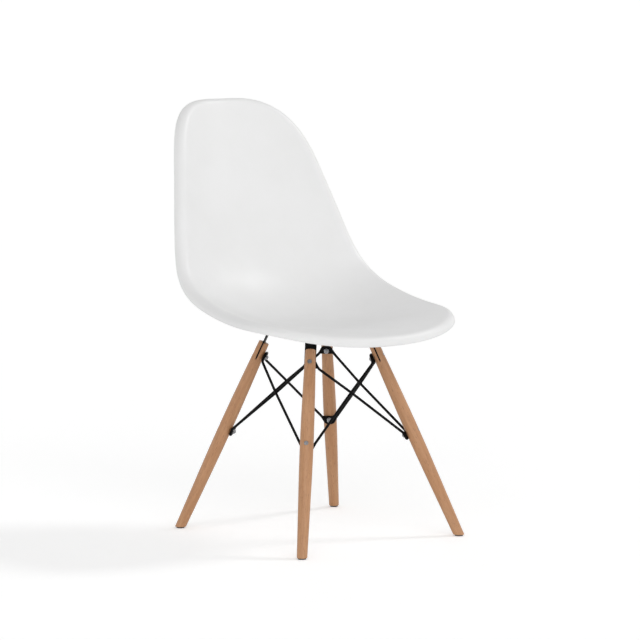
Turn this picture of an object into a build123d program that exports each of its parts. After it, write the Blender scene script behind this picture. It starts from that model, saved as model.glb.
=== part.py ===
from build123d import *
import os
from math import radians, sin
import numpy as np

# A dining chair: a moulded plastic shell bolted to four slotted beech legs, which are tied
# together by two loops of bent steel rod.
# Frame: floor at Z = 0 under the middle of the chair, the sitter looks along -Y and has
# +X on the left. All lengths are in millimetres, all angles in degrees.

# ---- seat shell --------------------------------------------------------------------------
# The inner face is ruled by its middle line, seen from the side as (Y, Z) control points
# from the front edge over the seat and up the back to the top edge, evenly spaced. At the
# same even steps along the shell, HALF_WIDTHS is the distance from the middle to the side
# and SIDE_RISES is how far the side stands above the middle line.
MIDDLE_LINE = [(-283, 400), (-205, 415), (-113, 405), (-20, 405), (75, 418),
               (146, 474), (173, 560), (198, 650), (226, 741), (266, 831)]
HALF_WIDTHS = [235, 238, 238, 232, 218, 193, 161, 133]
SIDE_RISES = [11, 22, 43, 66, 68, 59, 50, 36]
DISH_POWER = 2.0          # 2 is an even hollow across; more keeps the middle flatter
FRONT_CORNER = 0.21       # share of the shell's length that the front corners take
TOP_CORNER = 0.19
FRONT_SQUARENESS = 2.2    # 2 is an elliptic corner, more is squarer
TOP_SQUARENESS = 3.0
WALL = 4.5
RIM_RADIUS = 15.5         # inner face of the rolled rim
RIM_LIP = 2.5             # straight strip after the roll
RIM_DRAFT = 5.0           # the lip stops this far short of square to the middle line

# ---- legs --------------------------------------------------------------------------------
LEGS_Y = -50.0            # middle of the four legs
FOOT_X, FOOT_Y = 189.0, 196.0       # axis at the floor, from the middle of the legs
LEG_TOP_X, LEG_TOP_Y, LEG_TOP_Z = 75.5, 73.5, 366.5
LEG_LENGTH = 400.0        # from the top to where the axis meets the floor, near enough
LEG_RADII = [10.0, 12.3, 13.25, 11.5, 9.8]   # control values at even steps from the top down
LEG_TOP_CHAMFER = 1.2
FOOT_ROUND = 1.2
SLOT_DEPTH = 35.5
SLOT_WIDTH = 2.7
UPPER_BOLT, LOWER_BOLT = 25.0, 184.0        # from the leg's top along its axis

# ---- foot glides -------------------------------------------------------------------------
GLIDE_RADIUS = 7.8
GLIDE_HEIGHT = 2.5
GLIDE_ROUND = 0.8
GLIDE_PIN_RADIUS = 2.0
GLIDE_PIN_LENGTH = 9.0

# ---- leg brackets and their seat bolts -----------------------------------------------------
STEEL = 2.5               # bracket plate
BRACKET_WIDTH = 22.0
BRACKET_IN_LEG = 34.0     # length below the leg's top
BRACKET_CORNER = 7.0
FLANGE_CORNER = 9.0
BRACKET_BEND = 3.0        # inside radius
FLANGE_Z = 390.0          # upper face of the flange
FLANGE_LENGTH = 29.0      # from the bend's corner to the flange's end
FLANGE_HOLE = 17.0        # from the bend's corner to the seat bolt
PAD_RADIUS, PAD_HEIGHT = 13.0, 4.0
PAD_HOLE_RADIUS = 3.6
BOSS_RADIUS = 12.0
BOSS_IN_WALL = 2.2        # the boss ends this far under the shell's inner face
INSERT_RADIUS, INSERT_LENGTH = 4.5, 10.0
SEAT_BOLT_RADIUS = 3.0    # M6
SEAT_BOLT_LENGTH = 16.0
SEAT_HEAD_RADIUS, SEAT_HEAD_HEIGHT, SEAT_KEY = 5.0, 6.0, 5.0
WASHER_RADIUS, WASHER_HEIGHT = 7.0, 1.2
WASHER_HOLE_RADIUS = 3.2
FLANGE_HOLE_RADIUS = 3.3

# ---- leg bolts and nuts --------------------------------------------------------------------
BOLT_RADIUS = 2.5         # M5
BOLT_HOLE_RADIUS = 2.75
HEAD_RADIUS, HEAD_HEIGHT, HEAD_KEY = 4.25, 3.5, 3.0
KEY_DEPTH = 2.0
HEAD_SUNK = 0.7           # head's face below the leg's surface
HEAD_RECESS_RADIUS = 4.5
NUT_ACROSS_FLATS, NUT_HEIGHT = 8.0, 5.0
NUT_FLANGE_RADIUS, NUT_FLANGE_HEIGHT = 5.0, 1.2
NUT_END = 0.2             # the nut's rounded end is this much wider than across its flats
BOLT_PAST_NUT = 1.2

# ---- brace loops and tabs ------------------------------------------------------------------
ROD_RADIUS = 2.5
ROD_BEND = 6.0            # radius of the middle line where the rod turns over a bolt
ROD_FROM_BOLT = 7.7       # from the bolt to the rod's middle line
ROD_ACROSS = 14.0         # between the two bend corners over a bolt
SIDE_BEND = 12.0          # radius where the rod leaves a tab's side for the next leg
SIDE_ACROSS = 29.0        # between the two corners there
SIDE_REACH = 7.0          # from the bolt to those corners, on its other side
ROD_BOW = 2.7             # each run bows this far, so that two runs just touch where they cross
BOW_RADIUS = 600.0
TAB_THICKNESS = 3.0

os.makedirs("parts", exist_ok=True)


def save(name, shape):
    """Write one piece, or one group of like pieces, to its own file."""
    export_step(shape, f"parts/{name}.step")


# ==== seat shell ==========================================================================

def along(values, share):
    """Smooth value at a share, 0 to 1, of the way along evenly spaced control values."""
    values = np.asarray(values, float)
    spans = len(values) - 1
    before, after = 2 * values[0] - values[1], 2 * values[-1] - values[-2]
    held = np.concatenate([[before], values, [after]])
    place = np.clip(share, 0, 1) * spans
    span = np.clip(np.floor(place).astype(int), 0, spans - 1)
    t = place - span
    if values.ndim > 1:
        t = t[..., None]
    weights = (
        (1 - t) ** 3,
        3 * t ** 3 - 6 * t ** 2 + 4,
        1 + 3 * t + 3 * t ** 2 - 3 * t ** 3,
        t ** 3,
    )
    return sum(w * held[span + k] for k, w in enumerate(weights)) / 6


def inner_face(across, share):
    """Points of the inner face, and the square-to-the-middle-line direction there.
    across is -1 to 1 from side to side, share is 0 to 1 from front to top."""
    step = 1e-4
    middle = along(MIDDLE_LINE, share)
    run = along(MIDDLE_LINE, share + step) - along(MIDDLE_LINE, share - step)
    run /= np.linalg.norm(run, axis=-1, keepdims=True)
    rise = along(SIDE_RISES, share) * np.abs(across) ** DISH_POWER
    x = across * along(HALF_WIDTHS, share)
    square = np.stack([0 * x, -run[..., 1], run[..., 0]], -1)
    points = np.stack([x, middle[..., 0], middle[..., 1]], -1) + square * rise[..., None]
    return points, square


def edge_table():
    """The shell's edge on its +X half as (across, share), from front middle to top middle."""
    turn = np.radians(np.linspace(0, 90, 181))
    front_across = np.sin(turn) ** (2 / FRONT_SQUARENESS)
    front_share = FRONT_CORNER * (1 - np.cos(turn) ** (2 / FRONT_SQUARENESS))
    top_across = np.sin(turn) ** (2 / TOP_SQUARENESS)
    top_share = 1 - TOP_CORNER * (1 - np.cos(turn) ** (2 / TOP_SQUARENESS))
    across = np.concatenate([front_across, top_across[::-1]])
    share = np.concatenate([front_share, top_share[::-1]])
    return across, share


EDGE_ACROSS, EDGE_SHARE = edge_table()
EDGE_ANGLE = np.arctan2(2 * EDGE_SHARE - 1, EDGE_ACROSS)
middle_points = along(MIDDLE_LINE, np.linspace(0, 1, 401))
SHELL_LENGTH = np.linalg.norm(np.diff(middle_points, axis=0), axis=1).sum()


def edge_at(angle):
    """Edge of the shell, flattened out to millimetres, where a ray from its middle meets it."""
    angle = (angle + np.pi) % (2 * np.pi) - np.pi
    other_side = np.abs(angle) > np.pi / 2
    folded = np.where(other_side, np.sign(angle) * np.pi - angle, angle)
    across = np.interp(folded, EDGE_ANGLE, EDGE_ACROSS) * np.where(other_side, -1, 1)
    share = np.interp(folded, EDGE_ANGLE, EDGE_SHARE)
    return np.stack([across * along(HALF_WIDTHS, share), share * SHELL_LENGTH], -1)


def flat_to_face(flat):
    """Point of the inner face at a point of the flattened shell."""
    share = flat[..., 1] / SHELL_LENGTH
    return inner_face(flat[..., 0] / along(HALF_WIDTHS, share), share)


def unit(v):
    return v / np.linalg.norm(v, axis=-1, keepdims=True)


RIM_START = 0.82          # ring where the roll starts; 0 is the middle and 1 is the lip's end


def shell_grid(columns, depth):
    """Points of the shell on a square grid that is pressed into the shell's outline.
    depth is 0 for the inner face and WALL for the outer one."""
    a, b = np.meshgrid(columns, columns, indexing="ij")
    u, v = a * np.sqrt(1 - b ** 2 / 2), b * np.sqrt(1 - a ** 2 / 2)
    ring, angle = np.hypot(u, v), np.arctan2(v, u)

    nudge = 0.002
    edge = edge_at(angle)
    tangent = unit(edge_at(angle + nudge) - edge_at(angle - nudge))
    outward = np.stack([tangent[..., 1], -tangent[..., 0]], -1)
    roll_start = edge - outward * RIM_RADIUS * radians(75)

    middle = np.array([0, SHELL_LENGTH / 2])
    inside = middle + (roll_start - middle) * np.minimum(ring / RIM_START, 1)[..., None]
    points, square = flat_to_face(inside)
    out_step = flat_to_face(inside + outward * 0.5)[0] - flat_to_face(inside - outward * 0.5)[0]
    side_step = flat_to_face(inside + tangent * 0.5)[0] - flat_to_face(inside - tangent * 0.5)[0]
    out_step = unit(out_step)
    normal = unit(np.cross(out_step, unit(side_step)))
    normal *= np.sign((normal * square).sum(-1, keepdims=True))

    # past the roll's start the wall turns about the rim's centre, then runs on as the lip
    full_turn = radians(90 - RIM_DRAFT) + np.arcsin(np.clip((out_step * square).sum(-1), -1, 1))
    travel = np.clip((ring - RIM_START) / (1 - RIM_START), 0, 1) * (full_turn * RIM_RADIUS + RIM_LIP)
    turn = np.minimum(travel / RIM_RADIUS, full_turn)[..., None]
    lip = np.maximum(travel - full_turn * RIM_RADIUS, 0)[..., None]
    rolled = points + out_step * RIM_RADIUS * np.sin(turn) - normal * RIM_RADIUS * (1 - np.cos(turn))
    rolled += lip * (out_step * np.cos(turn) - normal * np.sin(turn))
    return rolled - depth * (normal * np.cos(turn) + out_step * np.sin(turn))


def shell_face(depth, lines=49):
    columns = np.linspace(-1, 1, lines)
    rows = [[Vector(*map(float, point)) for point in row] for row in shell_grid(columns, depth)]
    return Face.make_surface_from_array_of_points(rows, tol=0.1, min_deg=3, max_deg=8)


def seat_height(x, y):
    """Height of the shell's inner face over a point of the seat."""
    share = np.linspace(0.05, 0.6, 111)
    points, _ = inner_face(x / along(HALF_WIDTHS, share), share)
    return float(np.interp(y, points[:, 1], points[:, 2]))


def tube(outside, inside, height):
    """Ring that stands on Z = 0."""
    bottom = (Align.CENTER, Align.CENTER, Align.MIN)
    return Cylinder(outside, height, align=bottom) - Cylinder(inside, height, align=bottom)


# ==== corners =============================================================================

class Corner:
    """One leg's corner of the chair: side is +1 on the sitter's left, end is +1 at the rear."""

    def __init__(self, name, side, end):
        self.name, self.side, self.end = name, side, end
        foot = Vector(side * FOOT_X, end * FOOT_Y + LEGS_Y, 0)
        self.top = Vector(side * LEG_TOP_X, end * LEG_TOP_Y + LEGS_Y, LEG_TOP_Z)
        self.up = (self.top - foot).normalized()
        self.outward = Vector(-self.up.X, -self.up.Y, 0).normalized()
        self.bolt_line = (self.outward - self.up * self.outward.dot(self.up)).normalized()
        self.level = self.up.cross(self.bolt_line)
        self.leg_frame = Plane(origin=self.top, x_dir=self.bolt_line, z_dir=self.up)
        self.flange_rise = FLANGE_Z - STEEL / 2 - LEG_TOP_Z
        self.bend = self.top + self.up * (self.flange_rise / self.up.Z)
        self.seat_bolt = self.bend - self.outward * FLANGE_HOLE

    def on_axis(self, down):
        """Point on the leg's axis, this far below its top."""
        return self.top - self.up * down

    def bolt_frame(self, down, radius):
        """Frame with +Z along a leg bolt towards its head, at this distance from the axis."""
        origin = self.on_axis(down) + self.bolt_line * radius
        return Plane(origin=origin, x_dir=self.level, z_dir=self.bolt_line)


CORNERS = [
    Corner("front_right", -1, -1),
    Corner("rear_right", -1, 1),
    Corner("rear_left", 1, 1),
    Corner("front_left", 1, -1),
]
BOLTS = {"upper": UPPER_BOLT, "lower": LOWER_BOLT}
STAND = (Align.CENTER, Align.CENTER, Align.MIN)
HANG = (Align.CENTER, Align.CENTER, Align.MAX)


def leg_radius(down):
    return float(along(LEG_RADII, down / LEG_LENGTH))


def head_depth(down):
    """How far a sunk bolt head's seat lies from the leg's axis."""
    return leg_radius(down) - HEAD_SUNK - HEAD_HEIGHT


# ==== the shell with its bosses ================================================================

faces = [shell_face(0.0), shell_face(WALL)]
rim_faces = [Face.make_surface_from_curves(p, q) for p, q in zip(faces[0].edges(), faces[1].edges())]
shell = Solid(Shell([*faces, *rim_faces]))
BOSS_Z = FLANGE_Z + PAD_HEIGHT

for corner in CORNERS:
    place = Location((corner.seat_bolt.X, corner.seat_bolt.Y, BOSS_Z))
    height = seat_height(corner.seat_bolt.X, corner.seat_bolt.Y) - BOSS_IN_WALL - BOSS_Z
    shell = shell + place * Cylinder(BOSS_RADIUS, height, align=STAND)
for corner in CORNERS:
    place = Location((corner.seat_bolt.X, corner.seat_bolt.Y, BOSS_Z))
    shell = shell - place * Cylinder(INSERT_RADIUS, INSERT_LENGTH, align=STAND)
save("seat_shell", shell)


# ==== what hangs on each corner ==============================================================

def make_leg(corner):
    """Turned leg with its slot, its two bolt holes and the bore for the glide's pin."""
    downs = np.linspace(0, LEG_LENGTH + 20, 15)
    side = Spline(*[(leg_radius(down), -down) for down in downs])
    low = (0, -downs[-1])
    half = side + Polyline(side @ 1, low, (0, 0), side @ 0)
    leg = revolve(Plane.XZ * make_face(half), Axis.Z)
    leg = chamfer(leg.edges().filter_by(GeomType.CIRCLE).sort_by(Axis.Z)[-1], LEG_TOP_CHAMFER)
    leg -= Box(SLOT_WIDTH, 3 * LEG_RADII[0], 2 * SLOT_DEPTH)
    leg = corner.leg_frame * leg
    for down in BOLTS.values():
        recess = Cylinder(HEAD_RECESS_RADIUS, 2 * LEG_RADII[0], align=STAND)
        leg -= corner.bolt_frame(down, 0) * Cylinder(BOLT_HOLE_RADIUS, 4 * LEG_RADII[0])
        leg -= corner.bolt_frame(down, head_depth(down)) * recess
    leg -= Location((0, 0, GLIDE_HEIGHT)) * Box(900, 900, 100, align=HANG)
    leg = fillet(leg.edges().group_by(Axis.Z)[0], FOOT_ROUND)
    return leg - glide_place(corner) * Cylinder(GLIDE_PIN_RADIUS, GLIDE_PIN_LENGTH, align=STAND)


def glide_place(corner):
    """Upright frame at the middle of the leg's cut foot."""
    foot = corner.top - corner.up * ((LEG_TOP_Z - GLIDE_HEIGHT) / corner.up.Z)
    return Location((foot.X, foot.Y, GLIDE_HEIGHT))


def make_glide(corner):
    disc = Cylinder(GLIDE_RADIUS, GLIDE_HEIGHT, align=HANG)
    disc = fillet(disc.edges().filter_by(GeomType.CIRCLE).sort_by(Axis.Z)[0], GLIDE_ROUND)
    return glide_place(corner) * (disc + Cylinder(GLIDE_PIN_RADIUS, GLIDE_PIN_LENGTH, align=STAND))


def make_bracket(corner):
    """Plate that stands in the leg's slot and is bent over into the flange under the boss."""
    path = FilletPolyline(
        corner.on_axis(BRACKET_IN_LEG),
        corner.bend,
        corner.bend - corner.outward * FLANGE_LENGTH,
        radius=BRACKET_BEND + STEEL / 2,
    )
    section = Plane(origin=path @ 0, x_dir=corner.level, z_dir=path % 0) * Rectangle(BRACKET_WIDTH, STEEL)
    plate = sweep(section, path=path)
    for end, radius in ((path @ 0, BRACKET_CORNER), (path @ 1, FLANGE_CORNER)):
        tip = plate.faces().sort_by_distance(end)[0]
        corners = tip.edges().sort_by(SortBy.LENGTH)[:2]
        plate = fillet(corners, radius)
    plate -= corner.bolt_frame(UPPER_BOLT, 0) * Cylinder(BOLT_HOLE_RADIUS, 20)
    bolt = Location((corner.seat_bolt.X, corner.seat_bolt.Y, FLANGE_Z))
    return plate - bolt * Cylinder(FLANGE_HOLE_RADIUS, 20)


def make_bolt(radius, length, head_radius, head_height, key):
    """Socket bolt whose head stands on Z = 0 and whose shank runs down from there."""
    head = Cylinder(head_radius, head_height, align=STAND)
    head = chamfer(head.edges().filter_by(GeomType.CIRCLE).sort_by(Axis.Z)[-1], 0.5)
    key_shape = Plane.XY.offset(head_height - KEY_DEPTH) * RegularPolygon(key / 2, 6, major_radius=False)
    socket = extrude(key_shape, KEY_DEPTH)
    shank = Cylinder(radius, length, align=HANG)
    shank = chamfer(shank.edges().filter_by(GeomType.CIRCLE).sort_by(Axis.Z)[0], 0.5)
    return head - socket + shank


def make_nut():
    """Hexagon nut with a flange, hanging below Z = 0, where its flange bears."""
    flange = Cylinder(NUT_FLANGE_RADIUS, NUT_FLANGE_HEIGHT, align=HANG)
    half_flats = NUT_ACROSS_FLATS / 2
    hexagon = extrude(Plane.XY * RegularPolygon(half_flats, 6, major_radius=False), -NUT_HEIGHT)
    rounding = Cone(half_flats + NUT_END, half_flats + NUT_END + NUT_HEIGHT, NUT_HEIGHT, align=HANG)
    return flange + (hexagon & rounding) - Cylinder(BOLT_RADIUS, 3 * NUT_HEIGHT)


def tab_depth(down):
    """How far a tab's bearing face lies from the leg's axis: it clears the leg's swell."""
    return max(leg_radius(down + step) for step in (-ROD_FROM_BOLT, 0, ROD_FROM_BOLT))


def make_tab(corner, which, loop):
    """Web between the leg and a brace loop's bend, as wide as the rod's middle line and cut to
    lie against it."""
    down = BOLTS[which]
    toward_rod = 1 if which == "upper" else -1
    outline = Polyline(
        (-ROD_ACROSS / 2, ROD_FROM_BOLT), (ROD_ACROSS / 2, ROD_FROM_BOLT),
        (SIDE_ACROSS / 2, -SIDE_REACH), (-SIDE_ACROSS / 2, -SIDE_REACH), close=True,
    )
    frame = Plane(origin=corner.on_axis(down) - corner.bolt_line * tab_depth(down),
                  x_dir=corner.level * -toward_rod, z_dir=-corner.bolt_line)
    tab = frame * extrude(make_face(outline), TAB_THICKNESS)
    tab -= corner.bolt_frame(down, 0) * Cylinder(BOLT_HOLE_RADIUS, 100)
    return (tab - loop).solids().sort_by(SortBy.VOLUME)[-1]


# ==== brace loops =============================================================================

def rod_corners(corner, which, toward):
    """The rod's side corner and then its corner over the bolt, at one tab, on the side that is
    nearer to a given point."""
    down = BOLTS[which]
    toward_rod = 1 if which == "upper" else -1
    middle = corner.on_axis(down) - corner.bolt_line * (tab_depth(down) + ROD_RADIUS)
    over = middle + corner.up * (toward_rod * ROD_FROM_BOLT)
    beside = middle - corner.up * (toward_rod * SIDE_REACH)
    level = corner.level if corner.level.dot(toward - middle) > 0 else -corner.level
    return beside + level * (SIDE_ACROSS / 2), over + level * (ROD_ACROSS / 2)


def loop_stations(first):
    """Corner points round one brace loop, each with its bend radius. first is where the loop
    sits on the first leg, and it changes between upper and lower from leg to leg."""
    other = {"upper": "lower", "lower": "upper"}
    places = [(corner, first if k % 2 == 0 else other[first]) for k, corner in enumerate(CORNERS)]
    stations = []
    for (corner, which), (after, after_which) in zip(places, places[1:] + places[:1]):
        side, over = rod_corners(corner, which, after.top)
        next_side, next_over = rod_corners(after, after_which, corner.top)
        # the other loop's run is this one mirrored between the two legs: they cross on the
        # mirror plane, and each bows square to both. The loops are woven: a run that starts
        # at a lower tab passes outside the other loop's
        bow_side = 1 if which == "lower" else -1
        run, beside = next_side - side, after.top - corner.top
        share = ((corner.top + after.top) / 2 - side).dot(beside) / run.dot(beside)
        square = run.cross(beside).normalized()
        if square.dot(corner.outward) < 0:
            square = -square
        stations += [
            (over, ROD_BEND),
            (side, SIDE_BEND),
            (side + run * share + square * bow_side * ROD_BOW, BOW_RADIUS),
            (next_side, SIDE_BEND),
            (next_over, ROD_BEND),
        ]
    return stations


def make_loop(first):
    """Round rod bent through its stations, closed on itself."""
    stations = loop_stations(first)
    count = len(stations)
    arcs = []
    for k, (point, radius) in enumerate(stations):
        back = (stations[k - 1][0] - point).normalized()
        ahead = (stations[(k + 1) % count][0] - point).normalized()
        half_turn = radians(back.get_angle(ahead)) / 2
        reach = radius / np.tan(half_turn)
        inward = (back + ahead).normalized()
        crown = point + inward * (radius / sin(half_turn) - radius)
        arcs.append(ThreePointArc(point + back * reach, crown, point + ahead * reach))
    rod = None
    for k, arc in enumerate(arcs):
        straight = Line(arc @ 1, arcs[(k + 1) % count] @ 0)
        for path in (arc, straight):
            section = Plane(origin=path @ 0, z_dir=path % 0) * Circle(ROD_RADIUS)
            piece = sweep(section, path=path)
            rod = piece if rod is None else rod + piece
    return rod


loops = {"upper": make_loop("upper"), "lower": make_loop("lower")}
save("brace_loop_one", loops["upper"])
save("brace_loop_two", loops["lower"])

WASHER_Z = FLANGE_Z - STEEL - WASHER_HEIGHT
insert = tube(INSERT_RADIUS, SEAT_BOLT_RADIUS, INSERT_LENGTH)
pad = tube(PAD_RADIUS, PAD_HOLE_RADIUS, PAD_HEIGHT)
washer = tube(WASHER_RADIUS, WASHER_HOLE_RADIUS, WASHER_HEIGHT)
seat_bolt = make_bolt(SEAT_BOLT_RADIUS, SEAT_BOLT_LENGTH, SEAT_HEAD_RADIUS, SEAT_HEAD_HEIGHT, SEAT_KEY)

for k, corner in enumerate(CORNERS):
    name = corner.name
    bolt_x, bolt_y = corner.seat_bolt.X, corner.seat_bolt.Y
    save(f"{name}_leg", make_leg(corner))
    save(f"{name}_glide", make_glide(corner))
    save(f"{name}_bracket", make_bracket(corner))
    save(f"{name}_insert", Location((bolt_x, bolt_y, BOSS_Z)) * insert)
    save(f"{name}_pad", Location((bolt_x, bolt_y, FLANGE_Z)) * pad)
    save(f"{name}_seat_washer", Location((bolt_x, bolt_y, WASHER_Z)) * washer)
    save(f"{name}_seat_bolt", Location((bolt_x, bolt_y, WASHER_Z), (180, 0, 0)) * seat_bolt)
    for which, down in BOLTS.items():
        on_this_loop = "upper" if (which == "upper") == (k % 2 == 0) else "lower"
        save(f"{name}_{which}_tab", make_tab(corner, which, loops[on_this_loop]))
        nut_seat = -(tab_depth(down) + TAB_THICKNESS)
        head_seat = head_depth(down)
        shank = head_seat - nut_seat + NUT_HEIGHT + BOLT_PAST_NUT
        save(f"{name}_{which}_nut", corner.bolt_frame(down, nut_seat) * make_nut())
        bolt = make_bolt(BOLT_RADIUS, shank, HEAD_RADIUS, HEAD_HEIGHT, HEAD_KEY)
        save(f"{name}_{which}_bolt", corner.bolt_frame(down, head_seat) * bolt)
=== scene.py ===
import math

import bmesh
import bpy
import numpy as np
from mathutils import Matrix, Vector


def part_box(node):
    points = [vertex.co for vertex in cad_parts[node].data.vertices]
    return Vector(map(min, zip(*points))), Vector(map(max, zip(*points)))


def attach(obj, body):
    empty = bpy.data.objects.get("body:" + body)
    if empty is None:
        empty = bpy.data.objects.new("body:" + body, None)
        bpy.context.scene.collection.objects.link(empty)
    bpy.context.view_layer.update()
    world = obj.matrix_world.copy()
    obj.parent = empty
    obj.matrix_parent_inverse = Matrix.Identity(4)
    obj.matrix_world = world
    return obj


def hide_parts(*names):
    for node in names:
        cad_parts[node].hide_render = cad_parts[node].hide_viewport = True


# A dining chair: a moulded plastic shell on four slotted beech legs, which two loops of bent
# steel rod tie together. Nothing moves, so every piece rides on the one body, "root".
# Lengths are in metres, the floor is Z = 0, and the sitter looks along -Y with +X on the left.

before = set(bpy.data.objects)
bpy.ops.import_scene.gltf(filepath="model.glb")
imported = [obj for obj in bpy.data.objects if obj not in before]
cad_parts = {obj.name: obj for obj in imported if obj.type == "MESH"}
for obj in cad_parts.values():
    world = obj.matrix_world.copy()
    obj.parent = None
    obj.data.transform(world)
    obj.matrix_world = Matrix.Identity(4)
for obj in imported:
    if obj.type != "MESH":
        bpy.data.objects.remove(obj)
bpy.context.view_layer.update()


# ==== Seat shell ==============================================================================
# One injection moulding in white polypropylene with a satin face. Its wall is 4.5 mm thick and
# bends over into a rolled rim, and four bosses under the seat take the brackets' screws.

WALL = 0.0045
# the middle line of the sitter's face as (Y, Z) control points from the front edge to the top,
# then, at even steps of their own, its distance to the side and the side's height above it
MIDDLE_LINE = [(-0.283, 0.400), (-0.205, 0.415), (-0.113, 0.405), (-0.020, 0.405), (0.075, 0.418),
               (0.146, 0.474), (0.173, 0.560), (0.198, 0.650), (0.226, 0.741), (0.266, 0.831)]
HALF_WIDTHS = [0.235, 0.238, 0.238, 0.232, 0.218, 0.193, 0.161, 0.133]
SIDE_RISES = [0.011, 0.022, 0.043, 0.066, 0.068, 0.059, 0.050, 0.036]
FRONT_CORNER, FRONT_SQUARENESS = 0.21, 2.2    # share of the length, and how square the corner is
TOP_CORNER, TOP_SQUARENESS = 0.19, 3.0
RIM_RADIUS = 0.0155
RIM_LIP = 0.0025
RIM_INSET = RIM_RADIUS * math.radians(75)     # the roll starts this far inside the flat outline
RIM_DRAFT = math.radians(5)
RIM_START = 0.82                              # 0 is the middle of the shell and 1 the lip's end
LIP_ROUND = 0.0014
PATCH_REACH = 0.62                            # a square patch of mesh fills the middle this far
PATCH_LINES = 81
PLAIN_RINGS, ROLL_RINGS = 14, 18


def along(values, share):
    """Smooth value at a share, 0 to 1, of the way along evenly spaced control values."""
    values = np.asarray(values, float)
    spans = len(values) - 1
    held = np.concatenate([[2 * values[0] - values[1]], values, [2 * values[-1] - values[-2]]])
    place = np.clip(share, 0, 1) * spans
    span = np.clip(np.floor(place).astype(int), 0, spans - 1)
    t = place - span
    if values.ndim > 1:
        t = t[..., None]
    weights = (
        (1 - t) ** 3,
        3 * t ** 3 - 6 * t ** 2 + 4,
        1 + 3 * t + 3 * t ** 2 - 3 * t ** 3,
        t ** 3,
    )
    return sum(w * held[span + k] for k, w in enumerate(weights)) / 6


def unit(vectors):
    return vectors / np.linalg.norm(vectors, axis=-1, keepdims=True)


def sitters_face(across, share):
    """Points of the sitter's face, and the direction square to the middle line there.
    across is -1 to 1 from side to side, share is 0 to 1 from the front to the top."""
    step = 1e-4
    middle = along(MIDDLE_LINE, share)
    run = unit(along(MIDDLE_LINE, share + step) - along(MIDDLE_LINE, share - step))
    x = across * along(HALF_WIDTHS, share)
    square = np.stack([0 * x, -run[..., 1], run[..., 0]], -1)
    rise = along(SIDE_RISES, share) * across ** 2
    return np.stack([x, middle[..., 0], middle[..., 1]], -1) + square * rise[..., None], square


def outline_table():
    """The shell's outline on its +X half as (across, share), from front middle to top middle."""
    turn = np.radians(np.linspace(0, 90, 181))
    front_across = np.sin(turn) ** (2 / FRONT_SQUARENESS)
    front_share = FRONT_CORNER * (1 - np.cos(turn) ** (2 / FRONT_SQUARENESS))
    top_across = np.sin(turn) ** (2 / TOP_SQUARENESS)
    top_share = 1 - TOP_CORNER * (1 - np.cos(turn) ** (2 / TOP_SQUARENESS))
    across = np.concatenate([front_across, top_across[::-1]])
    share = np.concatenate([front_share, top_share[::-1]])
    return across, share


OUTLINE_ACROSS, OUTLINE_SHARE = outline_table()
OUTLINE_ANGLE = np.arctan2(2 * OUTLINE_SHARE - 1, OUTLINE_ACROSS)
middle_points = along(MIDDLE_LINE, np.linspace(0, 1, 401))
SHELL_LENGTH = np.linalg.norm(np.diff(middle_points, axis=0), axis=1).sum()


def outline_at(angle):
    """Outline of the shell, flattened out, where a ray from its middle meets it."""
    angle = (angle + np.pi) % (2 * np.pi) - np.pi
    other_side = np.abs(angle) > np.pi / 2
    folded = np.where(other_side, np.sign(angle) * np.pi - angle, angle)
    across = np.interp(folded, OUTLINE_ANGLE, OUTLINE_ACROSS) * np.where(other_side, -1, 1)
    share = np.interp(folded, OUTLINE_ANGLE, OUTLINE_SHARE)
    return np.stack([across * along(HALF_WIDTHS, share), share * SHELL_LENGTH], -1)


def flat_to_face(flat):
    """Point of the sitter's face at a point of the flattened shell."""
    share = flat[..., 1] / SHELL_LENGTH
    return sitters_face(flat[..., 0] / along(HALF_WIDTHS, share), share)


def wall_points(angle, ring, depth, past_lip=0.0):
    """Points of the wall. angle runs round the shell and ring from the middle to the lip's end,
    depth is 0 on the sitter's face and WALL on the outer one."""
    nudge, half_step = 0.002, 0.0005
    outline = outline_at(angle)
    tangent = unit(outline_at(angle + nudge) - outline_at(angle - nudge))
    outward = np.stack([tangent[..., 1], -tangent[..., 0]], -1)
    middle = np.array([0, SHELL_LENGTH / 2])
    rim_foot = outline - outward * RIM_INSET
    inside = middle + (rim_foot - middle) * np.minimum(ring / RIM_START, 1)[..., None]
    points, square = flat_to_face(inside)

    def face_direction(flat_direction):
        """Which way the face runs where the flattened shell runs in a direction."""
        ahead, _ = flat_to_face(inside + flat_direction * half_step)
        behind, _ = flat_to_face(inside - flat_direction * half_step)
        return unit(ahead - behind)

    out_step, side_step = face_direction(outward), face_direction(tangent)
    normal = unit(np.cross(out_step, side_step))
    normal *= np.sign((normal * square).sum(-1, keepdims=True))

    # past its start the wall turns about the rim's centre, then runs on as the lip
    full_turn = math.pi / 2 - RIM_DRAFT + np.arcsin(np.clip((out_step * square).sum(-1), -1, 1))
    lip = RIM_LIP - LIP_ROUND
    travel = np.clip((ring - RIM_START) / (1 - RIM_START), 0, 1) * (full_turn * RIM_RADIUS + lip)
    turn = np.minimum(travel / RIM_RADIUS, full_turn)[..., None]
    straight = np.maximum(travel - full_turn * RIM_RADIUS, 0)[..., None] + past_lip
    points = points + out_step * RIM_RADIUS * np.sin(turn) - normal * RIM_RADIUS * (1 - np.cos(turn))
    points = points + straight * (out_step * np.cos(turn) - normal * np.sin(turn))
    return points - depth * (normal * np.cos(turn) + out_step * np.sin(turn))


def patch_points(depth):
    """The middle of the shell as a square patch of points, pressed into a disc."""
    lines = np.linspace(-1, 1, PATCH_LINES)
    a, b = np.meshgrid(lines, lines, indexing="ij")
    u, v = a * np.sqrt(1 - b ** 2 / 2), b * np.sqrt(1 - a ** 2 / 2)
    return wall_points(np.arctan2(v, u), np.hypot(u, v) * PATCH_REACH, depth).reshape(-1, 3)


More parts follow.
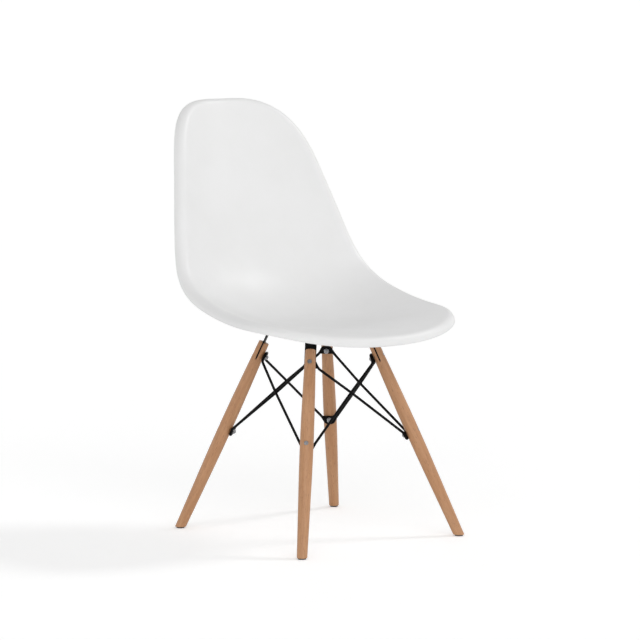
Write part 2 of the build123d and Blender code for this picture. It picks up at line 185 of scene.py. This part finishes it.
def patch_border():
    """Points of the patch along its edge, in order: their places in it and their angles."""
    last = PATCH_LINES - 1
    front = [(i, 0) for i in range(last)]
    left = [(last, j) for j in range(last)]
    top = [(i, last) for i in range(last, 0, -1)]
    right = [(0, j) for j in range(last, 0, -1)]
    places = np.array(front + left + top + right)
    a, b = (2 * places / last - 1).T
    angles = np.arctan2(b * np.sqrt(1 - a ** 2 / 2), a * np.sqrt(1 - b ** 2 / 2))
    return places[:, 0] * PATCH_LINES + places[:, 1], angles


def shell_mesh():
    """Vertices and faces of the closed wall: patch, rings out to the lip, round it and back."""
    border, angles = patch_border()
    count = len(border)
    plain = np.linspace(PATCH_REACH, RIM_START, PLAIN_RINGS, endpoint=False)[1:]
    roll = np.linspace(RIM_START, 1, ROLL_RINGS)
    rings = np.concatenate([plain, roll])
    turns = np.radians(np.linspace(0, 90, 5))[1:]
    lip = [(LIP_ROUND * math.sin(t), LIP_ROUND * (1 - math.cos(t))) for t in turns]
    lip += [(past, WALL - depth) for past, depth in reversed(lip)]

    loops = [wall_points(angles, np.full(count, ring), 0.0) for ring in rings]
    loops += [wall_points(angles, np.ones(count), depth, past) for past, depth in lip]
    loops += [wall_points(angles, np.full(count, ring), WALL) for ring in rings[::-1]]
    vertices = np.concatenate([patch_points(0.0), *loops, patch_points(WALL)])

    patch_size = PATCH_LINES ** 2
    outer_patch = patch_size + len(loops) * count
    starts = [border] + [patch_size + k * count + np.arange(count) for k in range(len(loops))]
    starts.append(outer_patch + border)
    faces = []
    for i in range(PATCH_LINES - 1):
        for j in range(PATCH_LINES - 1):
            corner = i * PATCH_LINES + j
            quad = [corner, corner + PATCH_LINES, corner + PATCH_LINES + 1, corner + 1]
            faces.append(quad)
            faces.append([outer_patch + index for index in reversed(quad)])
    for near, far in zip(starts, starts[1:]):
        faces += np.stack([near, far, np.roll(far, -1), np.roll(near, -1)], -1).tolist()
    return vertices, faces


def lathe(profile, segments=64):
    """Vertices and faces of a solid turned about Z. The profile is (radius, height) points
    from one end's middle to the other's, which both lie on the axis."""
    turns = np.arange(segments) * 2 * np.pi / segments
    rings = [[(r * math.cos(t), r * math.sin(t), z) for t in turns] for r, z in profile[1:-1]]
    ends = [(0, 0, profile[0][1]), (0, 0, profile[-1][1])]
    vertices = np.array([point for ring in rings for point in ring] + ends)
    first_end, last_end = len(vertices) - 2, len(vertices) - 1
    last = (len(rings) - 1) * segments
    faces = []
    for k in range(segments):
        after = (k + 1) % segments
        faces.append([first_end, after, k])
        for ring in range(len(rings) - 1):
            low, high = ring * segments, (ring + 1) * segments
            faces.append([low + k, low + after, high + after, high + k])
        faces.append([last_end, last + k, last + after])
    return vertices, faces


BOSS_RADIUS, BOSS_FLARE, BOSS_EDGE = 0.012, 0.003, 0.0008
BOSS_IN_WALL = 0.0022     # how deep the boss reaches into the wall, below the sitter's face
BORE_RADIUS, BORE_DEPTH = 0.00455, 0.0102
SEAT_SHARE = (0.05, 0.60)     # where the seat lies along the middle line


def seat_height(x, y):
    """Height of the sitter's face over a point of the seat."""
    share = np.linspace(*SEAT_SHARE, 111)
    points, _ = sitters_face(x / along(HALF_WIDTHS, share), share)
    return float(np.interp(y, points[:, 1], points[:, 2]))


def boss_mesh(low, high):
    """A boss with its bore, standing on the insert's box, flared where it joins the wall."""
    x, y, foot = (low.x + high.x) / 2, (low.y + high.y) / 2, low.z
    under = seat_height(x, y) - WALL - foot
    flare = [(BOSS_RADIUS + BOSS_FLARE * (1 - math.cos(t)), under - BOSS_FLARE * (1 - math.sin(t)))
             for t in np.radians([0, 22.5, 45, 67.5, 90])]
    edge = [(BOSS_RADIUS - BOSS_EDGE * (1 - math.cos(t)), BOSS_EDGE * (1 + math.sin(t)))
            for t in np.radians([-90, -60, -30, 0])]
    bore = [(0, BORE_DEPTH), (BORE_RADIUS, BORE_DEPTH), (BORE_RADIUS, 0)]
    buried = under + WALL - BOSS_IN_WALL
    end = [(BOSS_RADIUS + BOSS_FLARE, buried), (0, buried)]
    vertices, faces = lathe(bore + edge + flare + end)
    # the boss leans its upper part to follow the wall, and keeps its flat foot
    for point in vertices:
        level = seat_height(x + point[0], y + point[1]) - WALL - foot - under
        reach = min(max((point[2] - BORE_DEPTH) / (under - BORE_DEPTH), 0), 1)
        point += (x, y, foot + level * reach)
    return vertices, faces


def add(tree, kind, **inputs):
    """New shader node with some inputs set: a plain value, or another node's socket to link."""
    made = tree.nodes.new(kind)
    for name, value in inputs.items():
        socket = made.inputs[name.replace("_", " ")]
        if isinstance(value, bpy.types.NodeSocket):
            tree.links.new(value, socket)
        else:
            socket.default_value = value
    return made


def blend_colours(tree, factor, first, second):
    """Output of a node that goes from one colour to the other as factor goes from 0 to 1."""
    mix = tree.nodes.new("ShaderNodeMix")
    mix.data_type = "RGBA"
    for socket, value in ((mix.inputs[0], factor), (mix.inputs[6], first), (mix.inputs[7], second)):
        if isinstance(value, bpy.types.NodeSocket):
            tree.links.new(value, socket)
        elif socket == mix.inputs[0]:
            socket.default_value = value
        else:
            socket.default_value = (*value, 1)
    return mix.outputs[2]


def spread(tree, value, low, high, from_low=0.0, from_high=1.0):
    """Output of a node that maps a value from one range to another."""
    mapped = tree.nodes.new("ShaderNodeMapRange")
    tree.links.new(value, mapped.inputs["Value"])
    mapped.inputs["From Min"].default_value = from_low
    mapped.inputs["From Max"].default_value = from_high
    mapped.inputs["To Min"].default_value = low
    mapped.inputs["To Max"].default_value = high
    return mapped.outputs["Result"]


def new_finish(name, **constants):
    """Material, its node tree and its shader, with the constant values set on the shader."""
    finish = bpy.data.materials.new(name)
    finish.use_nodes = True
    shader = finish.node_tree.nodes["Principled BSDF"]
    for socket, value in constants.items():
        shader.inputs[socket.replace("_", " ")].default_value = value
    return finish, finish.node_tree, shader


def surface_group():
    """Shared effect: the fine grain of a moulded or coated face, and soft uneven patches.
    Height goes to a Bump node, and Patches is a mask from 0 to 1."""
    group = bpy.data.node_groups.new("coated_surface", "ShaderNodeTree")
    for name, value in (("Grain Scale", 1500.0), ("Patch Scale", 25.0)):
        socket = group.interface.new_socket(name, in_out="INPUT", socket_type="NodeSocketFloat")
        socket.default_value = value
    for name in ("Height", "Patches"):
        group.interface.new_socket(name, in_out="OUTPUT", socket_type="NodeSocketFloat")
    inputs = group.nodes.new("NodeGroupInput")
    outputs = group.nodes.new("NodeGroupOutput")
    place = group.nodes.new("ShaderNodeTexCoord").outputs["Object"]
    grain = add(group, "ShaderNodeTexNoise", Vector=place, Scale=inputs.outputs["Grain Scale"],
                Detail=2.0, Roughness=0.55)
    pits = add(group, "ShaderNodeTexVoronoi", Vector=place, Scale=inputs.outputs["Grain Scale"])
    patches = add(group, "ShaderNodeTexNoise", Vector=place, Scale=inputs.outputs["Patch Scale"],
                  Detail=5.0, Roughness=0.6)
    height = add(group, "ShaderNodeMath")
    group.links.new(grain.outputs["Fac"], height.inputs[0])
    group.links.new(pits.outputs["Distance"], height.inputs[1])
    group.links.new(height.outputs[0], outputs.inputs["Height"])
    mask = spread(group, patches.outputs["Fac"], 0, 1, from_low=0.35, from_high=0.65)
    group.links.new(mask, outputs.inputs["Patches"])
    return group


COATED_SURFACE = surface_group()


def coated(name, colours, roughness, grain_scale, patch_scale, grain_depth, **constants):
    """Finish with the shared grain: two colours and two roughness values blend in patches."""
    finish, tree, shader = new_finish(name, **constants)
    surface = tree.nodes.new("ShaderNodeGroup")
    surface.node_tree = COATED_SURFACE
    surface.inputs["Grain Scale"].default_value = grain_scale
    surface.inputs["Patch Scale"].default_value = patch_scale
    patches, height = surface.outputs["Patches"], surface.outputs["Height"]
    tree.links.new(blend_colours(tree, patches, *colours), shader.inputs["Base Color"])
    tree.links.new(spread(tree, patches, *roughness), shader.inputs["Roughness"])
    bump = add(tree, "ShaderNodeBump", Height=height, Strength=1.0, Distance=grain_depth)
    tree.links.new(bump.outputs["Normal"], shader.inputs["Normal"])
    return finish


def new_mesh(name, vertices, faces):
    """Mesh from points and faces."""
    mesh = bpy.data.meshes.new(name)
    mesh.from_pydata([tuple(point) for point in vertices], [], faces)
    return mesh


def new_object(name, data):
    """Object from a mesh, a light or a camera, in the scene."""
    made = bpy.data.objects.new(name, data)
    bpy.context.scene.collection.objects.link(made)
    return made


def smooth(mesh, crease):
    """Shade a mesh smooth, apart from edges that turn by more than so many degrees."""
    mesh.shade_smooth()
    mesh.set_sharp_from_angle(angle=math.radians(crease))


# each leg's name, with its side along X and its end along Y
CORNERS = {
    "front_right": (-1, -1),
    "rear_right": (-1, 1),
    "rear_left": (1, 1),
    "front_left": (1, -1),
}

white_plastic = coated(
    "white_polypropylene", colours=[(0.82, 0.82, 0.82), (0.80, 0.80, 0.797)], roughness=[0.40, 0.48],
    grain_scale=1400.0, patch_scale=9.0, grain_depth=0.000012, IOR=1.49,
)

vertices, faces = shell_mesh()
for corner in CORNERS:
    boss_vertices, boss_faces = boss_mesh(*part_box(f"{corner}_insert"))
    faces += [[index + len(vertices) for index in face] for face in boss_faces]
    vertices = np.concatenate([vertices, boss_vertices])
moulding = new_mesh("moulded_seat_shell", vertices, faces)
smooth(moulding, crease=40)
moulding.materials.append(white_plastic)
shell = new_object("moulded_seat_shell", moulding)
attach(shell, "root")
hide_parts("seat_shell")


# ==== Legs ====================================================================================
# Four turned legs of solid beech under a clear matt lacquer, thickest just below the lower
# bolts. Each is sawn down its top for the bracket plate and cut off level at the foot.

LEGS_Y = -0.050
FOOT_X, FOOT_Y = 0.189, 0.196
LEG_TOP_X, LEG_TOP_Y, LEG_TOP_Z = 0.0755, 0.0735, 0.3665
LEG_LENGTH = 0.400
LEG_RADII = [0.0100, 0.0123, 0.01325, 0.0115, 0.0098]
LEG_SPARE = 0.020                              # turned too long by this much, then cut at the foot
LEG_TOP_ROUND = 0.0014
LEG_RINGS, LEG_SEGMENTS = 54, 72
LEG_EDGE_TURN = 50                             # degrees, and sharper edges are rounded
SLOT_DEPTH, SLOT_WIDTH = 0.0355, 0.0027
SLOT_EDGE = 0.0003
BOLT_DOWNS = {"upper": 0.025, "lower": 0.184}  # from the leg's top along its axis
BOLT_HOLE_RADIUS = 0.00275
HEAD_RECESS_RADIUS = 0.0045
HEAD_SEAT = 0.0042                             # bolt head's seat below the leg's surface
GLIDE_HEIGHT = 0.0025
FOOT_ROUND = 0.0012
SAME_POINT, SAME_LEVEL = 2e-6, 1e-5
BOARD_TURN, BOARD_STEP = 1.9, (0.11, 0.07, 0.6)  # from one leg's place in the wood to the next
# earlywood, latewood, warmer patches, the dark of the fibres and the flecks
BEECH_LIGHT = (0.535, 0.286, 0.144)
BEECH_MID = (0.458, 0.229, 0.107)
BEECH_WARM = (0.478, 0.231, 0.101)
BEECH_DARK = (0.315, 0.146, 0.066)
BEECH_FLECK = (0.200, 0.088, 0.040)


def leg_frame(side, end):
    """Frame at a leg's top: Z runs up its axis and X along its bolts, away from the chair."""
    foot = Vector((side * FOOT_X, end * FOOT_Y + LEGS_Y, 0))
    top = Vector((side * LEG_TOP_X, end * LEG_TOP_Y + LEGS_Y, LEG_TOP_Z))
    up = (top - foot).normalized()
    outward = Vector((-up.x, -up.y, 0)).normalized()
    bolt_line = (outward - up * outward.dot(up)).normalized()
    turn = Matrix((bolt_line, up.cross(bolt_line), up)).transposed().to_4x4()
    return Matrix.Translation(top) @ turn


def leg_radius(down):
    """Radius of a leg this far below its top."""
    return float(along(LEG_RADII, down / LEG_LENGTH))


def cut_away(piece, vertices, faces):
    """Cut a closed solid out of a piece, and merge the points that fall together."""
    cutter_mesh = new_mesh("cutter", vertices, faces)
    cutter = new_object("cutter", cutter_mesh)
    cut = piece.modifiers.new("cut", "BOOLEAN")
    cut.operation, cut.solver, cut.object = "DIFFERENCE", "EXACT", cutter
    bpy.context.view_layer.update()
    evaluated = piece.evaluated_get(bpy.context.evaluated_depsgraph_get())
    finished = bpy.data.meshes.new_from_object(evaluated)
    work = bmesh.new()
    work.from_mesh(finished)
    bmesh.ops.remove_doubles(work, verts=work.verts, dist=SAME_POINT)
    bmesh.ops.dissolve_degenerate(work, edges=work.edges, dist=SAME_POINT)
    work.to_mesh(finished)
    work.free()
    piece.modifiers.remove(cut)
    spent = piece.data
    piece.data = finished
    bpy.data.objects.remove(cutter)
    bpy.data.meshes.remove(cutter_mesh)
    bpy.data.meshes.remove(spent)


def block(low, high):
    """Vertices and faces of a box between two corners."""
    xs, ys, zs = zip(low, high)
    corners = [(x, y, z) for x in xs for y in ys for z in zs]
    faces = [[0, 1, 3, 2], [4, 6, 7, 5], [0, 4, 5, 1], [2, 3, 7, 6], [0, 2, 6, 4], [1, 5, 7, 3]]
    return np.array(corners), faces


def drill(down, depth):
    """Vertices and faces of a bolt hole along the leg's X axis, this far below its top, with
    a wider recess from that depth outwards."""
    wide = 2 * LEG_RADII[0]
    profile = [(0, -wide), (BOLT_HOLE_RADIUS, -wide), (BOLT_HOLE_RADIUS, depth),
               (HEAD_RECESS_RADIUS, depth), (HEAD_RECESS_RADIUS, wide), (0, wide)]
    vertices, faces = lathe(profile, segments=40)
    return np.stack([vertices[:, 2], vertices[:, 1], -vertices[:, 0] - down], -1), faces


def sharp_edges(work, least_turn):
    """Edges between two faces that turn from one to the other by more than so many degrees."""
    return [edge for edge in work.edges
            if len(edge.link_faces) == 2 and edge.calc_face_angle() > math.radians(least_turn)]


def soften(mesh, size, steps, chosen):
    """Round the sharp edges of a mesh that chosen(edge) picks."""
    work = bmesh.new()
    work.from_mesh(mesh)
    edges = [edge for edge in sharp_edges(work, LEG_EDGE_TURN) if chosen(edge)]
    bmesh.ops.bevel(work, geom=edges, offset=size, segments=steps, profile=0.5, affect="EDGES")
    work.to_mesh(mesh)
    work.free()


def leg_blank(frame_at_top):
    """Turned leg, cut level at the foot, in its own frame."""
    downs = np.linspace(0, LEG_LENGTH + LEG_SPARE, LEG_RINGS)[1:]
    top = [(leg_radius(0) - LEG_TOP_ROUND * (1 - math.sin(t)), -LEG_TOP_ROUND * (1 - math.cos(t)))
           for t in np.radians([0, 30, 60, 90])]
    taper = [(leg_radius(down), -down) for down in downs]
    profile = [(0, 0), *top, *taper, (0, -downs[-1])]
    mesh = new_mesh("leg_blank", *lathe(profile[::-1], LEG_SEGMENTS))

    work = bmesh.new()
    work.from_mesh(mesh)
    world_up = frame_at_top.to_3x3().transposed() @ Vector((0, 0, 1))
    on_floor = Vector((0, 0, -(LEG_TOP_Z - GLIDE_HEIGHT) / frame_at_top[2][2]))
    everything = work.verts[:] + work.edges[:] + work.faces[:]
    cut = bmesh.ops.bisect_plane(work, geom=everything, plane_co=on_floor, plane_no=-world_up,
                                 clear_outer=True)
    rim = [part for part in cut["geom_cut"] if isinstance(part, bmesh.types.BMEdge)]
    bmesh.ops.contextual_create(work, geom=rim)
    bmesh.ops.recalc_face_normals(work, faces=work.faces)
    work.to_mesh(mesh)
    work.free()
    soften(mesh, FOOT_ROUND, steps=3, chosen=lambda edge: edge.verts[0].co.z < -LEG_LENGTH / 2)
    return mesh


def make_leg_mesh(frame_at_top):
    """Finished leg in its own frame: the blank with its slot sawn and its bolt holes drilled."""
    def on_slot_edge(edge):
        on_slot = all(abs(v.co.x) < SLOT_WIDTH for v in edge.verts)
        on_slot_floor = all(abs(v.co.z + SLOT_DEPTH) < SAME_LEVEL for v in edge.verts)
        return on_slot and not on_slot_floor

    blank = new_object("leg_blank", leg_blank(frame_at_top))
    wide = 2 * LEG_RADII[0]
    cut_away(blank, *block((-SLOT_WIDTH / 2, -wide, -SLOT_DEPTH), (SLOT_WIDTH / 2, wide, SLOT_DEPTH)))
    soften(blank.data, SLOT_EDGE, steps=2, chosen=on_slot_edge)
    for down in BOLT_DOWNS.values():
        cut_away(blank, *drill(down, leg_radius(down) - HEAD_SEAT))
    mesh = blank.data
    bpy.data.objects.remove(blank)
    mesh.name = "turned_leg"
    smooth(mesh, crease=30)
    return mesh


def beech_finish():
    """Straight-grained beech: broad growth bands, fine fibres along the leg and short dark
    flecks. Reads its place from the leg's "grain" attribute."""
    finish, tree, shader = new_finish("lacquered_beech", IOR=1.5, Coat_Weight=0.12,
                                      Coat_Roughness=0.35)
    place = tree.nodes.new("ShaderNodeAttribute")
    place.attribute_name = "grain"

    def stretched(scale, length, detail, roughness=0.55):
        """Noise that is so many times longer along the grain than across it."""
        squeeze = add(tree, "ShaderNodeMapping", Vector=place.outputs["Vector"],
                      Scale=(1, 1, 1 / length))
        return add(tree, "ShaderNodeTexNoise", Vector=squeeze.outputs["Vector"], Scale=scale,
                   Detail=detail, Roughness=roughness).outputs["Fac"]

    def tinted(under, colour, noise, most, from_low, from_high):
        """A colour gone over with another, from none of it where the noise is low to the most."""
        share = spread(tree, noise, 0, most, from_low, from_high)
        return blend_colours(tree, share, under, colour)

    bands = stretched(scale=170.0, length=16, detail=3.0)
    fibres = stretched(scale=1500.0, length=28, detail=3.0, roughness=0.65)
    tone = stretched(scale=28.0, length=3, detail=2.0)
    flecks = stretched(scale=900.0, length=9, detail=1.0)
    banded = tinted(BEECH_LIGHT, BEECH_MID, bands, most=1, from_low=0.36, from_high=0.64)
    toned = tinted(banded, BEECH_WARM, tone, most=0.6, from_low=0.35, from_high=0.7)
    fibred = tinted(toned, BEECH_DARK, fibres, most=0.55, from_low=0.45, from_high=0.72)
    flecked = tinted(fibred, BEECH_FLECK, flecks, most=0.7, from_low=0.66, from_high=0.72)
    tree.links.new(flecked, shader.inputs["Base Color"])
    roughness = spread(tree, fibres, 0.40, 0.56, from_low=0.35, from_high=0.7)
    tree.links.new(roughness, shader.inputs["Roughness"])
    bump = add(tree, "ShaderNodeBump", Height=fibres, Strength=0.5, Distance=0.00006)
    tree.links.new(bump.outputs["Normal"], shader.inputs["Normal"])
    return finish


beech = beech_finish()
leg_mesh = make_leg_mesh(leg_frame(1, 1))
leg_mesh.materials.append(beech)
for k, (corner, (side, end)) in enumerate(CORNERS.items()):
    mesh = leg_mesh.copy()
    # each leg is from another piece of the board, turned its own way
    turned = Matrix.Rotation(k * BOARD_TURN, 3, "Z")
    moved = Vector([k * step for step in BOARD_STEP])
    grain = mesh.attributes.new("grain", "FLOAT_VECTOR", "POINT")
    places = [tuple(turned @ vertex.co + moved) for vertex in mesh.vertices]
    grain.data.foreach_set("vector", np.array(places).ravel())
    mesh.transform(leg_frame(side, end))
    leg = new_object(f"{corner}_turned_leg", mesh)
    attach(leg, "root")
    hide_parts(f"{corner}_leg")
bpy.data.meshes.remove(leg_mesh)


# ==== Foot glides =============================================================================
# A dark nylon disc with a rounded edge is pressed into each leg's foot by its pin.

dark_nylon = coated(
    "dark_nylon", colours=[(0.035, 0.034, 0.033), (0.060, 0.058, 0.056)], roughness=[0.45, 0.62],
    grain_scale=2500.0, patch_scale=220.0, grain_depth=0.00003, IOR=1.53,
)


def dress(name, finish):
    """Give a CAD piece that keeps its own shape its finish."""
    for material_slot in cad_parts[name].material_slots:
        material_slot.material = finish


for corner in CORNERS:
    dress(f"{corner}_glide", dark_nylon)


# ==== Brackets, tabs and brace loops ==========================================================
# Steel under a satin black powder coat: bent 2.5 mm plates let into the leg tops, small tabs
# behind each bolt, and two closed loops of 5 mm rod welded to the tabs.

EASED = 0.0004
CAD_EDGE_TURN = 35            # degrees, and sharper edges are eased
CAD_FLAT_TURN = 1             # degrees, and flatter edges only divide a face
SAME_CAD_POINT = 1e-6

black_coat = coated(
    "black_powder_coat", colours=[(0.0025, 0.0025, 0.0026), (0.0045, 0.0045, 0.0048)],
    roughness=[0.42, 0.55], grain_scale=1800.0, patch_scale=120.0, grain_depth=0.00003,
    Specular_IOR_Level=0.08,
)


def ease_edges(name, size, finish):
    """A CAD piece's shape with its sheared or machined edges eased, as a piece of its own."""
    work = bmesh.new()
    work.from_mesh(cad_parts[name].data)
    bmesh.ops.remove_doubles(work, verts=work.verts, dist=SAME_CAD_POINT)
    bmesh.ops.dissolve_limit(work, angle_limit=math.radians(CAD_FLAT_TURN), verts=work.verts,
                             edges=work.edges)
    bmesh.ops.bevel(work, geom=sharp_edges(work, CAD_EDGE_TURN), offset=size, segments=3,
                    profile=0.5, affect="EDGES", clamp_overlap=True)
    mesh = bpy.data.meshes.new(f"{name}_eased")
    work.to_mesh(mesh)
    work.free()
    smooth(mesh, crease=40)
    mesh.materials.append(finish)
    piece = new_object(f"{name}_eased", mesh)
    weighted = piece.modifiers.new("flat_faces", "WEIGHTED_NORMAL")
    weighted.keep_sharp = True
    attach(piece, "root")
    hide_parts(name)


for corner in CORNERS:
    ease_edges(f"{corner}_bracket", EASED, black_coat)
    dress(f"{corner}_upper_tab", black_coat)
    dress(f"{corner}_lower_tab", black_coat)
for name in ("brace_loop_one", "brace_loop_two"):
    dress(name, black_coat)


# ==== Bolts, nuts and washers =================================================================
# Zinc-plated steel: M5 socket bolts sunk into the legs with flanged nuts behind the tabs, and
# an M6 bolt with a washer up through each bracket's flange.

bright_zinc = coated(
    "bright_zinc_plate", colours=[(0.52, 0.53, 0.55), (0.40, 0.405, 0.42)], roughness=[0.20, 0.36],
    grain_scale=3000.0, patch_scale=400.0, grain_depth=0.00001, Metallic=1.0,
)

# a darker copy of the zinc for the bolts sunk into the legs: painted shade of their recesses
recess_shaded_zinc = coated(
    "recess_shaded_zinc_plate", colours=[(0.34, 0.34, 0.35), (0.22, 0.22, 0.23)], roughness=[0.30, 0.45],
    grain_scale=3000.0, patch_scale=500.0, grain_depth=0.00001, Metallic=1.0,
)

MACHINED = EASED / 2
for corner in CORNERS:
    for name in ("upper_nut", "lower_nut", "seat_bolt", "seat_washer"):
        ease_edges(f"{corner}_{name}", MACHINED, bright_zinc)
    # the bolts sunk into the legs take the darker zinc, which paints the shade of their recesses
    for name in ("upper_bolt", "lower_bolt"):
        ease_edges(f"{corner}_{name}", MACHINED, recess_shaded_zinc)


# ==== Inserts and pads ========================================================================
# A brass insert is moulded into each boss, and a soft black rubber pad lies between the boss
# and the bracket's flange.

turned_brass = coated(
    "turned_brass", colours=[(0.72, 0.53, 0.24), (0.60, 0.43, 0.18)], roughness=[0.25, 0.42],
    grain_scale=2600.0, patch_scale=300.0, grain_depth=0.00001, Metallic=1.0,
)
black_rubber = coated(
    "black_rubber", colours=[(0.018, 0.018, 0.018), (0.032, 0.031, 0.030)], roughness=[0.72, 0.88],
    grain_scale=1600.0, patch_scale=160.0, grain_depth=0.00005, IOR=1.52,
)

PAD_EASED = 0.0006
for corner in CORNERS:
    dress(f"{corner}_insert", turned_brass)
    ease_edges(f"{corner}_pad", PAD_EASED, black_rubber)


# ==== Floor, light and camera =================================================================
# A plain white studio floor, lit by pale walls and a dimmer ceiling. A very wide light stands in
# front on the sitter's right, and a narrower one high on the left throws the soft shadow.

FLOOR_HALF = 200.0
FLOOR_GLOW, FLOOR_GLOW_SEEN = 0.07, 0.285     # on the chair, and to the eye

floor_corners = [(x * FLOOR_HALF, y * FLOOR_HALF, 0) for x, y in ((-1, -1), (1, -1), (1, 1), (-1, 1))]
floor_mesh = new_mesh("studio_floor", floor_corners, [[0, 1, 2, 3]])
floor = new_object("studio_floor", floor_mesh)
white_floor = coated(
    "white_floor", colours=[(0.90, 0.90, 0.90), (0.89, 0.89, 0.89)], roughness=[0.75, 0.85],
    grain_scale=60.0, patch_scale=1.5, grain_depth=0.0002, Specular_IOR_Level=0.2,
    Emission_Color=(1, 1, 1, 1),
)
floor_tree = white_floor.node_tree
floor_seen = floor_tree.nodes.new("ShaderNodeLightPath").outputs["Is Camera Ray"]
floor_tree.links.new(spread(floor_tree, floor_seen, FLOOR_GLOW, FLOOR_GLOW_SEEN),
                     floor_tree.nodes["Principled BSDF"].inputs["Emission Strength"])
floor_mesh.materials.append(white_floor)

scene = bpy.context.scene
scene.view_settings.view_transform = "Standard"

WALL_LIGHT, CEILING_LIGHT = 1.08, 0.29        # strength level with the floor, and overhead
world = bpy.data.worlds.new("studio")
world.use_nodes = True
sky = world.node_tree
background = sky.nodes["Background"]
background.inputs["Color"].default_value = (1, 1, 1, 1)
toward = sky.nodes.new("ShaderNodeTexCoord").outputs["Generated"]
height = add(sky, "ShaderNodeSeparateXYZ", Vector=toward).outputs["Z"]
seen = sky.nodes.new("ShaderNodeLightPath").outputs["Is Camera Ray"]
dimmed = spread(sky, height, WALL_LIGHT, CEILING_LIGHT)
# the eye sees the backdrop white all the way up
shown = sky.nodes.new("ShaderNodeMath")
shown.operation = "MAXIMUM"
sky.links.new(dimmed, shown.inputs[0])
sky.links.new(seen, shown.inputs[1])
sky.links.new(shown.outputs["Value"], background.inputs["Strength"])
scene.world = world

LAMP_DISTANCE = 4.0


def soft_light(name, toward, width, strength):
    """Far-off soft light in a direction from the chair, so many degrees wide."""
    light = bpy.data.lights.new(name, "SUN")
    light.angle, light.energy = math.radians(width), strength
    lamp = new_object(name, light)
    lamp.rotation_euler = Vector(toward).to_track_quat("Z", "Y").to_euler()
    lamp.location = Vector(toward) * LAMP_DISTANCE


soft_light("key", toward=(-0.42, -0.77, 0.48), width=70, strength=0.84)
soft_light("side", toward=(0.70, -0.22, 0.68), width=12, strength=0.60)

VIEW_TURN, VIEW_LIFT = math.radians(-37.45), math.radians(7.11)
VIEW_DISTANCE = 6.044
VIEW_AIM = Vector((0, -0.050, 0.400))
SENSOR_WIDTH, LENS_LENGTH = 36.0, 177.9       # millimetres
LENS_SHIFT = (0.0020, 0.00875)

back = Vector((
    math.sin(VIEW_TURN) * math.cos(VIEW_LIFT),
    -math.cos(VIEW_TURN) * math.cos(VIEW_LIFT),
    math.sin(VIEW_LIFT),
))
lens = bpy.data.cameras.new("camera")
lens.sensor_width, lens.lens = SENSOR_WIDTH, LENS_LENGTH
lens.shift_x, lens.shift_y = LENS_SHIFT
camera = new_object("camera", lens)
camera.location = VIEW_AIM + back * VIEW_DISTANCE
camera.rotation_euler = back.to_track_quat("Z", "Y").to_euler()
scene.camera = camera
